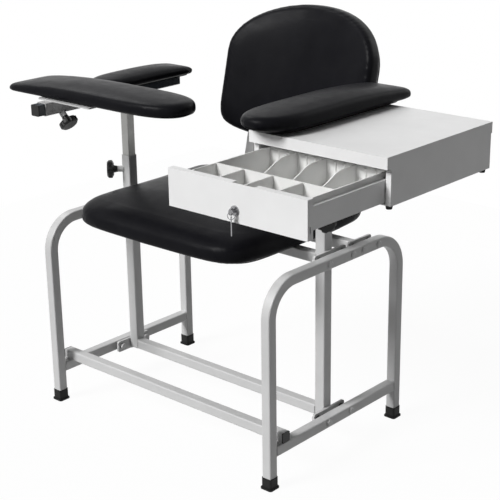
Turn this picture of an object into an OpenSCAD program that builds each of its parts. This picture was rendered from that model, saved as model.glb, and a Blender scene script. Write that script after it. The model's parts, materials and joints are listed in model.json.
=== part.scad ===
// Phlebotomy chair: two bent-tube side frames, a padded seat and back, a sliding front arm rest
// on the left and a cabinet with a drawer under the right arm pad.
// X to the right, Y to the back, Z up. The origin is on the floor, under the middle of the whole.

/* [Side frames] */
// How far the outer face of a side frame stands outside a post's axis
frame_off = 46.5; // [42:0.5:50]
// Depth of a side frame over its legs
frame_d = 438; // [420:1:460]
// Height of the top tube
frame_h = 437; // [425:1:450]
// Outside radius of the bends
bend_r = 80; // [60:1:90]
// Outside width of the frame tube
leg_tube = 22; // [20:0.5:24]
// Wall of the frame tube
leg_wall = 1.5; // [1.2:0.1:1.8]
// Corner radius of the square tubes
tube_corner = 3; // [2.5:0.25:3.5]
// Height of the lower rail's underside
rail_z = 67.5; // [60:0.5:75]

/* [Boots] */
// Height of a rubber boot
boot_h = 25; // [20:0.5:30]
// Wall of a boot
boot_wall = 1.2; // [1:0.1:1.5]
// Floor of a boot
boot_floor = 4; // [3:0.5:6]
// How far the foot of a boot stands out
boot_flare = 2.25; // [1.5:0.25:3]
// Height of the foot of a boot
boot_foot_h = 3.5; // [3:0.5:5]

/* [Posts and bars] */
// Distance of a post's axis from the side of the seat cushion
post_off = 40.5; // [40:0.5:42]
// Distance of the posts behind the middle of the side frames
post_y = 4.5; // [0:0.5:10]
// Outside width of a post
post_tube = 25; // [24.5:0.25:25.5]
// Wall of a post and of the tube that slides in it
post_wall = 1.2; // [1:0.1:1.3]
// Height of the lower end of the posts
post_z = 70; // [66:0.5:74]
// How far the posts stand above the side frames
post_rise = 104; // [93:1:113]
// Gap round a tube that slides in another
slip_gap = 0.3; // [0.2:0.05:0.4]
// How far the top of the two bars under the seat lies below the side frames'
rest_drop = 7; // [5:0.5:11]
// Distance of the front crossbar behind the front legs
front_bar_in = 38; // [28:1:48]
// Distance of the rear crossbar behind the middle
rear_bar_y = 103; // [95:1:110]
// Thickness of the head of a tube plug
plug_head = 2.5; // [2:0.25:3]
// Length of the stem of a tube plug
plug_stem = 14; // [10:1:18]

/* [Joint plates] */
// Thickness of a joint plate
plate_t = 5; // [4:0.25:5.5]
// How far a plate reaches past the post
plate_reach = 38; // [34:1:42]
// How far a plate stands above and below the tube
plate_lip = 2; // [1.5:0.25:2.5]
// Corner radius of a plate
plate_corner = 5; // [3:0.5:7]
// Distance of a bolt from the end of its plate
bolt_inset = 13; // [12:0.5:15]
// Diameter of a plate bolt
bolt_d = 8; // [7:0.5:9]
// Diameter of the head of a plate bolt
bolt_head_d = 15; // [14:0.5:16]
// Height of the head of a plate bolt
bolt_head_h = 3.5; // [3:0.25:4]
// Width over the flats of a nut
nut_w = 13; // [12:0.5:14]
// Height of a nut
nut_h = 6.5; // [5:0.5:7]

/* [Seat] */
// Width of the seat cushion
seat_w = 482; // [465:1:490]
// Depth of the seat cushion
seat_d = 458; // [450:1:475]
// Distance of the seat cushion behind the middle
seat_y = 7; // [0:0.5:10]
// Height of the side of the seat cushion
seat_h = 49; // [46:1:60]
// Rise of the seat cushion's crown
seat_crown = 14; // [8:1:22]
// Corner fullness of the seat cushion
seat_power = 7; // [6:0.5:10]
// Thickness of the seat board
seat_board_t = 12; // [9:0.5:15]
// How far the board lies inside the cushion's side
board_in = 18; // [16:0.5:22]

/* [Back] */
// How far a side of the back cushion lies inside the seat cushion's
back_in = 37; // [29:0.5:41]
// Height of the back cushion along its slope
back_l = 316; // [305:1:325]
// Height of the back's shoulders, where its arch begins
back_shoulder = 191; // [175:1:205]
// Fullness of the lower corners
back_foot_power = 14.5; // [10:0.5:18]
// Thickness of the back cushion at its side
back_h = 46; // [36:1:50]
// Rise of the back cushion's crown
back_crown = 5; // [3:0.5:8]
// How far the sides of the bent back stand ahead of its middle
back_wrap = 46; // [35:1:50]
// Lean of the back
back_lean = 14; // [11:0.5:16]
// Height of the lower edge of the back cushion above the bars under the seat
back_rise = 118; // [112:1:126]
// Distance of the lower edge of the back behind the middle
back_y = 293.5; // [288:0.5:298]
// Thickness of the back board
back_board_t = 12; // [9:0.5:15]

/* [Back straps] */
// Width of a strap
strap_w = 24; // [20:1:30]
// Thickness of a strap
strap_t = 6; // [5:0.5:7]
// Distance of a strap from the side of the seat cushion
strap_in = 81; // [77:1:91]
// How far the straps' faces stand ahead of the middle of the bent board
strap_fore = 8; // [4:0.5:9]
// Outside radius of the bend of a strap
strap_bend = 16; // [12:0.5:20]
// How far a strap runs up the back board
strap_up = 120; // [100:1:140]
// Diameter of a strap bolt's head
strap_bolt_d = 12; // [10:0.5:14]

/* [Left arm] */
// Height of the underside of the arm tube above the posts
arm_rise = 136; // [124:1:149]
// Outside width of the arm tube
arm_tube = 24; // [23:0.25:25]
// Distance of the arm tube's front end ahead of the middle
arm_front = 255; // [250:1:262]
// Distance of the arm tube's rear end behind the middle
arm_back = 163; // [155:1:170]
// Length of the tubes that slide in the posts
stem_l = 375; // [340:1:400]
// Width of the side pad
side_w = 90; // [84:1:104]
// Length of the side pad
side_l = 266; // [258:1:275]
// Distance of the side pad's middle behind the middle
side_y = 48; // [46:0.5:54]
// Height of the side pad's side
side_h = 21; // [18:1:26]
// Rise of a pad's crown
pad_crown = 6; // [4:0.5:9]
// Thickness of a pad's board
pad_board_t = 10; // [8:0.5:12]
// How far a pad's board lies inside its side
pad_board_in = 11; // [9:0.5:14]
// Share of its height that the side pad loses towards its rear end
side_taper = 0.3; // [0:0.05:0.5]

/* [Front rest] */
// Wall of the sleeve
sleeve_wall = 1.5; // [1.2:0.1:1.8]
// Length of the sleeve
sleeve_l = 110; // [100:1:116]
// Distance of the sleeve's front end behind the arm tube's
sleeve_back = 18; // [16:0.5:24]
// Thickness of the rest's plate
rest_t = 3; // [2.5:0.25:4]
// Width of the rest's plate
rest_w = 162; // [150:1:170]
// Depth of the rest's plate
rest_d = 86; // [80:1:90]
// How far the plate stands out to the left of the sleeve
rest_out = 20; // [16:1:24]
// Width of the front pad
front_l = 492; // [476:1:504]
// Depth of the front pad
front_d = 130; // [122:1:131]
// Height of the side of the front pad
front_pad_h = 28; // [24:1:34]
// Distance of the front pad's middle inside the left post
front_in = 100.5; // [93.5:0.5:105.5]
// Distance of the front pad's middle ahead of the middle
front_y = 152; // [150:1:156]
// Share of its height that the front pad loses towards its left end
front_taper = 0.5; // [0:0.05:0.6]

/* [Knobs] */
// Diameter of a clamp knob
knob_d = 41; // [37:1:45]
// Thickness of a clamp knob
knob_t = 15; // [13:0.5:17]
// Length of a knob's neck
knob_neck = 8; // [6:0.5:10]
// Number of lobes
lobes = 7; // [5:1:9]
// Diameter of a knob's stud
stud_d = 8; // [7:0.5:9]
// Diameter of a weld nut
boss_d = 14; // [13:0.5:16]
// Length of a weld nut, measured from the tube's corner
boss_l = 11; // [9:0.5:13]
// Distance of the height clamps below the upper ends of the posts
clamp_drop = 33; // [26:1:41]

/* [Cabinet] */
// Distance of the cabinet's middle outside the right post
cab_off = 122; // [118.5:0.5:125.5]
// Width of the cabinet
cab_w = 317; // [310:1:324]
// Depth of the cabinet
cab_d = 324; // [320:1:330]
// Height of the cabinet's underside above the posts
cab_rise = 81; // [74:1:89]
// Height of the cabinet with its cover
cab_h = 91; // [88:1:96]
// Thickness of the cabinet's sheet
sheet = 1.2; // [1:0.1:1.5]
// How far the cover stands out in front
lip_out = 13.6; // [12:0.2:15]
// Height of the cover's edge
lip_h = 22; // [20:0.5:24]
// Width of the folds beside the drawer
jamb_w = 11; // [10:0.5:12]
// Diameter of a cabinet foot
cab_foot_d = 14; // [12:0.5:16]
// Height of a cabinet foot
cab_foot_h = 8; // [6:0.5:10]
// Outside width of the tube under the cabinet
carrier_tube = 25; // [22:0.5:27]
// Thickness of the plate under the cabinet
carrier_t = 4; // [3:0.25:5]
// Length of the tube under the cabinet
carrier_l = 170; // [150:1:180]
// Height of the side of the right pad
right_h = 32; // [28:1:36]
// Width of the right pad
right_w = 117; // [110:1:124]
// Length of the right pad
right_l = 441; // [430:1:455]
// Distance of the right pad's middle outside the right post
right_off = 6.5; // [2.5:0.5:12.5]
// Distance of the right pad's middle ahead of the middle
right_y = 2.5; // [0:0.5:6]
// How far the underside of the right pad's front end is drawn in
right_nose = 32; // [20:1:50]
// Share of its height that the right pad loses towards its rear end
right_taper = 0.4; // [0.3:0.05:0.6]

/* [Drawer] */
// Distance of the drawer's front face ahead of the middle, pulled out
drawer_out = 390; // [380:1:395]
// Width of the drawer's front
front_w = 315; // [308:1:316]
// Height of the drawer's front
front_h = 70; // [66:1:72]
// Thickness of the folded drawer front
front_t = 14; // [13:0.5:15]
// How far the drawer's front reaches below the cabinet
front_drop = 4; // [2:0.5:6]
// Width of the drawer box
box_w = 288; // [284:1:290]
// Length of the drawer box
box_l = 314; // [300:1:315]
// Height of the sides of the drawer box
box_h = 41; // [38:0.5:43]
// Height of the drawer box above the cabinet's underside
box_lift = 5; // [4:0.5:7]
// Width of the fold on top of the drawer's sides
fold_w = 8; // [6:0.5:9]
// Length of a drawer rail
rail_l = 300; // [280:1:305]
// Thickness of a drawer rail
rail_t = 1.2; // [1:0.1:1.5]
// Length of a drawer glide
glide_l = 30; // [24:1:40]

/* [Tray] */
// Length of the tray
tray_l = 232; // [220:1:240]
// Height of the tray
tray_h = 51; // [46:0.5:52]
// Wall of the tray
tray_wall = 2.5; // [2:0.1:3]
// Length of the front row of bins
bin_l = 80; // [70:1:90]
// Number of bins in a row
bins = 4; // [3:1:5]
// How far the rear dividers drop at their front ends
bin_drop = 22; // [16:0.5:26]
// Diameter of the ribs in the rear wall
rib_d = 6; // [4:0.5:7]

/* [Lock] */
// Diameter of the lock's barrel
lock_d = 15; // [14:0.5:16]
// Diameter of the lock's flange
lock_flange_d = 18; // [17.5:0.5:20]
// Height of the lock above the lower edge of the drawer's front
lock_up = 22; // [20:0.5:24]
// Diameter of the lock's plug
lock_plug_d = 11; // [10:0.5:12]
// Diameter of a key's bow
bow_d = 13; // [12.5:0.5:15]
// Length of the spare key from the middle of its bow
key_l = 28; // [24:1:32]
// Thickness of a key
key_t = 2; // [1.6:0.1:2.4]
// Diameter of the key ring
ring_d = 14; // [13.5:0.5:16]
// Wire of the key ring
ring_wire = 1.4; // [1.2:0.1:1.6]

/* [Hidden] */
$fn = 48;

overrun = 2;              // how far a cut runs past the face
fit_gap = 0.1;            // gap of a piece that is pushed home
run_gap = 0.08;           // gap of a stud in its nut
tip_gap = 0.35;           // gap ahead of a clamp's tip
soft_gap = 0.3;           // gap between a soft piece and its neighbour
inner_corner_share = 0.3; // least inner corner of a tube, of its outer corner

// Frame: the seat's width sets the places of the posts, the side frames and the arms
post_x = seat_w / 2 + post_off;
frame_w = 2 * (post_x + frame_off);
leg_x = (frame_w - leg_tube) / 2;
leg_y = (frame_d - leg_tube) / 2;
front_bar_y = leg_y - front_bar_in;
post_top = frame_h + post_rise;
clamp_z = post_top - clamp_drop;
rest_z = frame_h - rest_drop;
bend_mid = bend_r - leg_tube / 2;
top_mid_z = frame_h - leg_tube / 2;
bend_z = top_mid_z - bend_mid;
rail_mid_z = rail_z + leg_tube / 2;
rail_top = rail_z + leg_tube;
post_bore = post_tube - 2 * post_wall;
stem_tube = post_bore - 2 * slip_gap;
bar_y = post_y - post_tube / 2 + leg_tube / 2;
low_bar_z = post_z + leg_tube / 2;
top_bar_z = rest_z - leg_tube / 2;
rail_in_x = leg_x - leg_tube / 2;
plate_x = post_x + post_tube / 2;
spacer_l = rail_in_x - plate_x - plate_t;
spacer_d = 2 * bolt_d;
plate_d = post_tube + 2 * plate_reach;
bolt_y = plate_d / 2 - bolt_inset;
rear_plate_d = 2 * plate_reach;
rear_bolt_y = rear_plate_d / 2 - bolt_inset;
bolt_hole_d = bolt_d + 2 * fit_gap;

// Seat and back
back_w = seat_w - 2 * back_in;
back_z = rest_z + back_rise;
strap_x = seat_w / 2 - strap_in;
seat_z = rest_z + strap_t;
seat_roll = seat_h / 2;
strap_root_y = bar_y - leg_tube / 2;

// Arms
arm_z = post_top + arm_rise;
front_x = post_x - front_in;
right_x = post_x + right_off;
arm_mid_z = arm_z + arm_tube / 2;
arm_top = arm_z + arm_tube;
sleeve_bore = arm_tube + 2 * slip_gap;
sleeve_tube = sleeve_bore + 2 * sleeve_wall;
sleeve_front = arm_front - sleeve_back;
rest_z0 = arm_mid_z + sleeve_tube / 2;
rest_left = post_x + sleeve_tube / 2 + rest_out;
rest_front = sleeve_front - sleeve_back;
front_pad_z = rest_z0 + rest_t;
knob_y = sleeve_front - sleeve_l * 2 / 5;

// Cabinet
cab_x = post_x + cab_off;
cab_z = post_top + cab_rise;
front_z = cab_z - front_drop;
box_z = cab_z + box_lift;
lock_z = front_z + lock_up;
cab_top = cab_z + cab_h;
cab_front = cab_d / 2;
carrier_z = cab_z - carrier_t - carrier_tube;
chassis_w = cab_w - 2 * sheet;
chassis_in = chassis_w / 2 - sheet;
rail_w = chassis_in - box_w / 2;
box_front = drawer_out - front_t;
ledge_z = box_z + box_h;
tray_w = box_w - 2 * fold_w;
tray_z = box_z + sheet;
tray_top = tray_z + tray_h;
bin_w = (tray_w - (bins + 1) * tray_wall) / bins;
rear_bin_l = tray_l - bin_l - 3 * tray_wall;
cam_l = cab_top - lip_h - lock_z + tray_wall;
cam_w = lock_plug_d;
key_stem = bow_d / 4;
key_in = lock_d / 4;
bow_hole_d = bow_d * 2 / 5;
bow_mid = lock_flange_d / 8 + key_stem + bow_d / 3;

// The middle of the whole, where the origin lies
x_low = -front_x - front_l / 2;
x_high = cab_x + cab_w / 2;
y_low = -drawer_out - bow_mid - bow_d / 2;
y_high = back_y + (back_l - board_in) * sin(back_lean) + back_board_t * cos(back_lean);
mid_x = (x_low + x_high) / 2;
mid_y = (y_low + y_high) / 2;

module stand() translate([-mid_x, -mid_y, 0]) children();

// Plain shapes
module round_rect(w, h, corner) {
    square([w, h - 2 * corner], center = true);
    square([w - 2 * corner, h], center = true);
    for (x = [-1, 1], y = [-1, 1])
        translate([x * (w / 2 - corner), y * (h / 2 - corner)]) circle(corner);
}
module tube_face(side) round_rect(side, side, tube_corner);
module tube_ring(side, wall) difference() {
    tube_face(side);
    round_rect(side - 2 * wall, side - 2 * wall,
        max(tube_corner - wall, tube_corner * inner_corner_share));
}
// Tubes that start at the middle of their end, along each axis
module tube_z(side, wall, l) linear_extrude(l) tube_ring(side, wall);
module tube_y(side, wall, l) rotate([-90, 0, 0]) linear_extrude(l) tube_ring(side, wall);
module tube_x(side, wall, l) rotate([90, 0, 90]) linear_extrude(l) tube_ring(side, wall);
module rod_x(d, l) rotate([0, 90, 0]) cylinder(h = l, d = d);
module rod_y(d, l) rotate([-90, 0, 0]) cylinder(h = l, d = d);
// A flat plate that stands across X, from its inner face outwards
module plate_yz(d, h, t, corner) rotate([90, 0, 90]) linear_extrude(t) round_rect(d, h, corner);

// Soft shapes: rings of points, closed at both ends
function middle(ring) = [for (k = [0:2]) [for (p = ring) p[k]] * [for (p = ring) 1] / len(ring)];
module skin(rings) {
    n = len(rings[0]);
    m = len(rings);
    polyhedron([for (r = rings) each r, middle(rings[0]), middle(rings[m - 1])], [
        for (j = [0:m - 2], i = [0:n - 1]) each [
            [j * n + i, (j + 1) * n + i, (j + 1) * n + (i + 1) % n],
            [j * n + i, (j + 1) * n + (i + 1) % n, j * n + (i + 1) % n]],
        for (i = [0:n - 1]) [m * n, i, (i + 1) % n],
        for (i = [0:n - 1]) [m * n + 1, (m - 1) * n + (i + 1) % n, (m - 1) * n + i]]);
}
// Outline of a pad, full at its corners or pointed as its two powers say
function oval(half_x, half_y, power_x, power_y, n) = [for (i = [0:n - 1]) let (a = 360 * i / n)
    [half_x * sign(cos(a)) * pow(abs(cos(a)), 2 / power_x),
     half_y * sign(sin(a)) * pow(abs(sin(a)), 2 / power_y)]];
function shrink(outline, half_x, half_y, in_x, in_y) =
    [for (p = outline) [p.x * (1 - in_x / half_x), p.y * (1 - in_y / half_y)]];
// The same, with the side's draw-in at the front end worked out for a nose
function nose_rings(rings, hy, h, nose) = [for (r = rings) [for (p = r) [p.x,
    p.y < 0 ? p.y * (1 - nose / hy * pow(max(0, 1 - 2 * p.z / h), 2)) : p.y, p.z]]];
// Side of a cushion from the bottom up: share of its height, share of the draw-in
side_shares = [[0, 1], [0.06, 0.62], [0.2, 0.22], [0.42, 0], [0.62, 0.03]];
// Crown of a cushion from its edge in: share of its half width, share of the crown
crown_shares = [[0.86, 0.3], [0.7, 0.62], [0.5, 0.84], [0.25, 0.96]];
roll_steps = 4;
function side_rings(outline, hx, hy, h, draw, roll, yk) = concat(
    [for (s = side_shares) let (q = shrink(outline, hx, hy, draw * s[1], draw * s[1] * yk))
        [for (p = q) [p.x, p.y, (h - roll) * s[0]]]],
    [for (i = [0:roll_steps]) let (a = 90 * i / roll_steps,
        d = roll * (1 - cos(a)) + draw * side_shares[4][1] * cos(a),
        q = shrink(outline, hx, hy, d, d * yk))
        [for (p = q) [p.x, p.y, h - roll + roll * sin(a)]]]);
function crown_rings(outline, hx, hy, h, roll, crown) = [for (s = crown_shares)
    let (kx = (1 - roll / hx) * s[0], ky = (1 - roll / hy) * s[0])
        [for (p = outline) [p.x * kx, p.y * ky, h + crown * s[1]]]];
module pad(outline, hx, hy, h, draw, roll, crown, yk, taper, nose)
    skin(taper_rings(nose_rings(concat(side_rings(outline, hx, hy, h, draw, roll, yk),
        crown_rings(outline, hx, hy, h, roll, crown)), hy, h, nose), hy, taper));
module pad_board(outline, hx, hy, t, inset_x, inset_y)
    linear_extrude(t) polygon(shrink(outline, hx, hy, inset_x, inset_y));
// Lowers the top towards the rear end
function taper_rings(rings, hy, taper) = [for (r = rings) [for (p = r)
    [p.x, p.y, p.z * (1 - taper * pow(max(p.y, 0) / hy, 2))]]];

pad_points = 56;
pad_draw = pad_board_in * 4 / 5;
seat_line = oval(seat_w / 2, seat_d / 2, seat_power, seat_power, pad_points);
// Arm pads lie along Y: their rear end is square and thin, their front end full and round
thin_power = [8, 24];
full_power = [2.2, 5.5];
function pad_line(w, l) = [for (i = [0:pad_points - 1]) let (a = 360 * i / pad_points,
    power = a < 180 ? thin_power : full_power)
    [w / 2 * sign(cos(a)) * pow(abs(cos(a)), 2 / power.x),
     l / 2 * sign(sin(a)) * pow(abs(sin(a)), 2 / power.y)]];
module arm_board(w, l, nose, inset) linear_extrude(pad_board_t)
    polygon([for (p = shrink(pad_line(w, l), w / 2, l / 2, inset, inset))
        [p.x, p.y < 0 ? p.y * (1 - 2 * nose / l) : p.y]]);
module arm_pad(w, l, h, reveal, taper, nose, inset) difference() {
    translate([0, 0, reveal])
        pad(pad_line(w, l), w / 2, l / 2, h, pad_draw, h * 2 / 5, pad_crown, 1, taper, nose);
    arm_board(w, l, nose, inset);
}

// Frame pieces
module side_frame() difference() {
    union() {
        for (m = [0, 1]) mirror([0, m, 0]) {
            translate([0, leg_y, boot_floor]) tube_z(leg_tube, leg_wall, bend_z - boot_floor);
            translate([0, leg_y - bend_mid, bend_z]) rotate([90, 0, 90])
                rotate_extrude(angle = 90) translate([bend_mid, 0]) tube_ring(leg_tube, leg_wall);
        }
        translate([0, bend_mid - leg_y, top_mid_z])
            tube_y(leg_tube, leg_wall, 2 * (leg_y - bend_mid));
        translate([0, leg_tube / 2 - leg_wall / 2 - leg_y, rail_mid_z])
            tube_y(leg_tube, leg_wall, 2 * leg_y - leg_tube + leg_wall);
    }
    for (y = [-1, 1]) {
        for (z = [rail_mid_z, top_mid_z]) translate([-leg_tube, post_y + y * bolt_y, z])
            rod_x(bolt_hole_d, 2 * leg_tube);
        translate([-leg_tube, rear_bar_y + y * rear_bolt_y, top_mid_z])
            rod_x(bolt_hole_d, 2 * leg_tube);
    }
}
module side_frame_left() color("gainsboro") stand() translate([-leg_x, 0, 0]) side_frame();
module side_frame_right() color("gainsboro") stand() translate([leg_x, 0, 0]) side_frame();

module boot() {
    w = leg_tube + 2 * fit_gap + 2 * boot_wall;
    difference() {
        union() {
            linear_extrude(boot_h) round_rect(w, w, tube_corner + boot_wall);
            linear_extrude(boot_foot_h)
                round_rect(w + 2 * boot_flare, w + 2 * boot_flare, tube_corner + boot_flare);
        }
        translate([0, 0, boot_floor]) linear_extrude(boot_h)
            round_rect(leg_tube + 2 * fit_gap, leg_tube + 2 * fit_gap, tube_corner);
    }
}
module boot_at(x, y) color("dimgray") stand() translate([x * leg_x, y * leg_y, 0]) boot();
module boot_front_left() boot_at(-1, -1);
module boot_front_right() boot_at(1, -1);
module boot_rear_left() boot_at(-1, 1);
module boot_rear_right() boot_at(1, 1);

module front_crossbar() color("gainsboro") stand()
    translate([plug_head - frame_w / 2, -front_bar_y, rail_top + leg_tube / 2])
        tube_x(leg_tube, leg_wall, frame_w - 2 * plug_head);
// Plug of a tube's end: its head faces away from the tube along +X
module tube_plug(side, wall) {
    stem = side - 2 * wall - 2 * fit_gap;
    rotate([90, 0, 90]) {
        linear_extrude(plug_head) tube_face(side);
        translate([0, 0, -plug_stem]) linear_extrude(plug_stem)
            round_rect(stem, stem, max(tube_corner - wall, tube_corner * inner_corner_share));
    }
}
module crossbar_plugs() color("black") stand() for (m = [0, 1]) mirror([m, 0, 0])
    translate([frame_w / 2 - plug_head, -front_bar_y, rail_top + leg_tube / 2])
        tube_plug(leg_tube, leg_wall);

// A clamp's axis: from the corner of a tube, out along the diagonal
module boss_along(side) {
    corner_at = (side / 2 - tube_corner) * sqrt(2) + tube_corner;
    translate([0, 0, corner_at - tube_corner]) cylinder(h = boss_l + tube_corner, d = boss_d);
}
module stud_hole() cylinder(h = post_tube * 2, d = stud_d + 2 * run_gap);
// Turns +Z to the diagonal between -Y and -X, level
module clamp_dir() rotate([90, 0, -45]) children();
module post(top) difference() {
    union() {
        translate([0, 0, post_z]) tube_z(post_tube, post_wall, top - post_z);
        translate([0, 0, clamp_z]) clamp_dir() boss_along(post_tube);
    }
    translate([0, 0, post_z - overrun]) linear_extrude(top - post_z + 2 * overrun)
        round_rect(post_bore, post_bore,
            max(tube_corner - post_wall, tube_corner * inner_corner_share));
    translate([0, 0, clamp_z]) clamp_dir() stud_hole();
}
module post_left() color("silver") stand() translate([-post_x, post_y, 0]) post(post_top);
module post_right() color("silver") stand() mirror([1, 0, 0])
    translate([-post_x, post_y, 0]) post(post_top);

module cross_tube(half, y, z) translate([-half, y, z]) tube_x(leg_tube, leg_wall, 2 * half);
module lower_bar() color("gainsboro") stand() cross_tube(post_x - post_tube / 2, bar_y, low_bar_z);
module upper_bar() color("gainsboro") stand() cross_tube(post_x - post_tube / 2, bar_y, top_bar_z);

module drilled_plate(d, h, holes_y, hole_z) difference() {
    plate_yz(d, h, plate_t, plate_corner);
    for (y = [-1, 1]) translate([-overrun, y * holes_y, hole_z])
        rod_x(bolt_hole_d, plate_t + 2 * overrun);
}
module rear_crossbar() color("gainsboro") stand() {
    h = frame_h + plate_lip - (rest_z - leg_tube - plate_lip);
    cross_tube(plate_x, rear_bar_y, top_bar_z);
    for (m = [0, 1]) mirror([m, 0, 0]) translate([plate_x, rear_bar_y, frame_h + plate_lip - h / 2])
        drilled_plate(rear_plate_d, h, rear_bolt_y, top_mid_z - frame_h - plate_lip + h / 2);
}
module side_plate(side, z) stand() mirror([side, 0, 0]) translate([plate_x, post_y, z])
    drilled_plate(plate_d, leg_tube + 2 * plate_lip, bolt_y, 0);
module plate_lower_left() color("silver") side_plate(1, rail_mid_z);
module plate_lower_right() color("silver") side_plate(0, rail_mid_z);
module plate_upper_left() color("silver") side_plate(1, top_mid_z);
module plate_upper_right() color("silver") side_plate(0, top_mid_z);

// Places of the plate bolts on the right-hand side
bolt_places = [for (y = [-1, 1]) each [[post_y + y * bolt_y, rail_mid_z],
    [post_y + y * bolt_y, top_mid_z], [rear_bar_y + y * rear_bolt_y, top_mid_z]]];
module plate_bolt() {
    translate([plate_x - nut_h, 0, 0]) rotate([90, 0, 90])
        linear_extrude(nut_h) circle(d = nut_w * 2 / sqrt(3), $fn = 6);
    translate([plate_x - nut_h, 0, 0]) rod_x(bolt_d, nut_h + plate_t + spacer_l + leg_tube);
    translate([leg_x + leg_tube / 2, 0, 0]) {
        rod_x(bolt_head_d, bolt_head_h / 2);
        translate([bolt_head_h / 2, 0, 0]) rotate([0, 90, 0])
            cylinder(h = bolt_head_h / 2, d1 = bolt_head_d, d2 = bolt_head_d * 2 / 3);
    }
}
module plate_bolts() color("darkgray") stand() for (m = [0, 1], p = bolt_places)
    mirror([m, 0, 0]) translate([0, p[0], p[1]]) plate_bolt();
module plate_spacers() color("black") stand() for (m = [0, 1], p = bolt_places)
    mirror([m, 0, 0]) translate([plate_x + plate_t, p[0], p[1]]) difference() {
        rod_x(spacer_d, spacer_l);
        translate([-overrun, 0, 0]) rod_x(bolt_hole_d, spacer_l + 2 * overrun);
    }

// Seat
seat_draw = board_in * 2 / 3;
seat_draw_share = 2; // draw-in at the front and the rear, of that at the sides
seat_reveal = seat_board_t / 2;
module seat_board_solid() translate([0, seat_y, seat_z])
    pad_board(seat_line, seat_w / 2, seat_d / 2, seat_board_t, board_in, board_in * seat_draw_share);
module seat_board() color("dimgray") stand() seat_board_solid();
module seat_cushion() color([0.14, 0.14, 0.15]) stand() difference() {
    translate([0, seat_y, seat_z + seat_reveal])
        pad(seat_line, seat_w / 2, seat_d / 2, seat_h, seat_draw, seat_roll, seat_crown, seat_draw_share, 0, 0);
    seat_board_solid();
}

// Back: drawn lying down with its front up, then leaned. Its board is bent to an arc
module lean() translate([0, back_y, back_z]) rotate([90 - back_lean, 0, 0]) children();
arch_steps = 24;
arch_power = 2.05;
foot_steps = 28;
function back_outline() = concat(
    [for (i = [0:arch_steps]) let (a = 180 * i / arch_steps)
        [back_w / 2 * sign(cos(a)) * pow(abs(cos(a)), 2 / arch_power),
         back_shoulder + (back_l - back_shoulder) * pow(abs(sin(a)), 2 / arch_power)]],
    [for (i = [1:foot_steps - 1]) let (a = 180 * i / foot_steps)
        [-back_w / 2 * cos(a), back_shoulder * (1 - pow(sin(a), 2 / back_foot_power))]]);
back_line = [for (p = back_outline()) [p.x, p.y - back_l / 2]];
back_r = pow(back_w / 2, 2) / (2 * back_wrap) + back_wrap / 2;
function bow_at(x) = back_r - sqrt(pow(back_r, 2) - pow(x, 2));
module bow_drum(r) translate([0, -back_l, back_r]) rotate([-90, 0, 0])
    cylinder(h = 3 * back_l, r = r, $fn = 360);
function bend_ring(ring) = [for (p = ring) [p.x, p.y + back_l / 2, p.z + soft_gap + bow_at(p.x)]];
under_shares = [0.3, 0.65];
module back_board() color("dimgray") stand() lean() {
    intersection() {
        translate([0, back_l / 2, -back_board_t])
            pad_board(back_line, back_w / 2, back_l / 2, back_board_t + back_wrap, board_in, board_in);
        difference() {
            bow_drum(back_r + back_board_t);
            bow_drum(back_r);
        }
    }
    // Packing strips that give the straps a flat face
    for (x = [-strap_x, strap_x]) difference() {
        box_from(x - strap_w * 2 / 3, x + strap_w * 2 / 3, strap_up * 3 / 8, strap_up,
            strap_fore, back_wrap * 2 / 3);
        bow_drum(back_r + back_board_t / 2);
    }
}
module back_cushion() color([0.14, 0.14, 0.15]) stand() lean() {
    sides = side_rings(back_line, back_w / 2, back_l / 2, back_h, board_in * 2 / 3, back_h / 4, 1);
    skin([for (r = concat([for (k = under_shares) [for (p = sides[0]) [p.x * k, p.y * k, p.z]]],
        sides, crown_rings(back_line, back_w / 2, back_l / 2, back_h, back_h / 4, back_crown)))
            bend_ring(r)]);
}

// Straps: level under the seat, then up behind the back board
strap_turn = 90 - back_lean;
strap_tan = strap_bend * tan(strap_turn / 2);
strap_corner_y = back_y - (back_z - rest_z) * tan(back_lean) + (strap_t - strap_fore) / cos(back_lean);
strap_level = strap_corner_y - strap_root_y;
strap_low = (rest_z - back_z + (strap_t - strap_fore) * sin(back_lean)) / cos(back_lean);
strap_hole_d = bolt_d * 3 / 4 + 2 * fit_gap;
strap_holes = [strap_up / 2, strap_up * 5 / 6];
module strap() difference() {
    rotate([90, 0, 90]) translate([0, 0, -strap_w / 2]) linear_extrude(strap_w) {
        translate([strap_root_y, rest_z]) square([strap_level - strap_tan, strap_t]);
        translate([strap_root_y + strap_level - strap_tan, rest_z + strap_bend]) intersection() {
            difference() { circle(strap_bend); circle(strap_bend - strap_t); }
            polygon([[0, 0], [0, -2 * strap_bend], [2 * strap_bend, -2 * strap_bend],
                2 * strap_bend * [sin(strap_turn), -cos(strap_turn)]]);
        }
        translate([strap_corner_y, rest_z]) rotate(90 - back_lean) translate([strap_tan, 0])
            square([strap_up - strap_low - strap_tan, strap_t]);
    }
    for (p = strap_holes) lean() translate([0, p, strap_fore - strap_t - overrun])
        cylinder(h = strap_t + 2 * overrun, d = strap_hole_d);
}
module back_strap_left() color("silver") stand() translate([-strap_x, 0, 0]) strap();
module back_strap_right() color("silver") stand() translate([strap_x, 0, 0]) strap();
// Bolts that hold the back board to the straps
module back_bolts() color("darkgray") stand() for (x = [-strap_x, strap_x], p = strap_holes)
    lean() translate([x, p, strap_fore - strap_t]) {
        cylinder(h = strap_t, d = strap_hole_d - 2 * fit_gap);
        translate([0, 0, -bolt_head_h]) cylinder(h = bolt_head_h, d2 = strap_bolt_d, d1 = strap_bolt_d * 2 / 3);
    }

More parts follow.
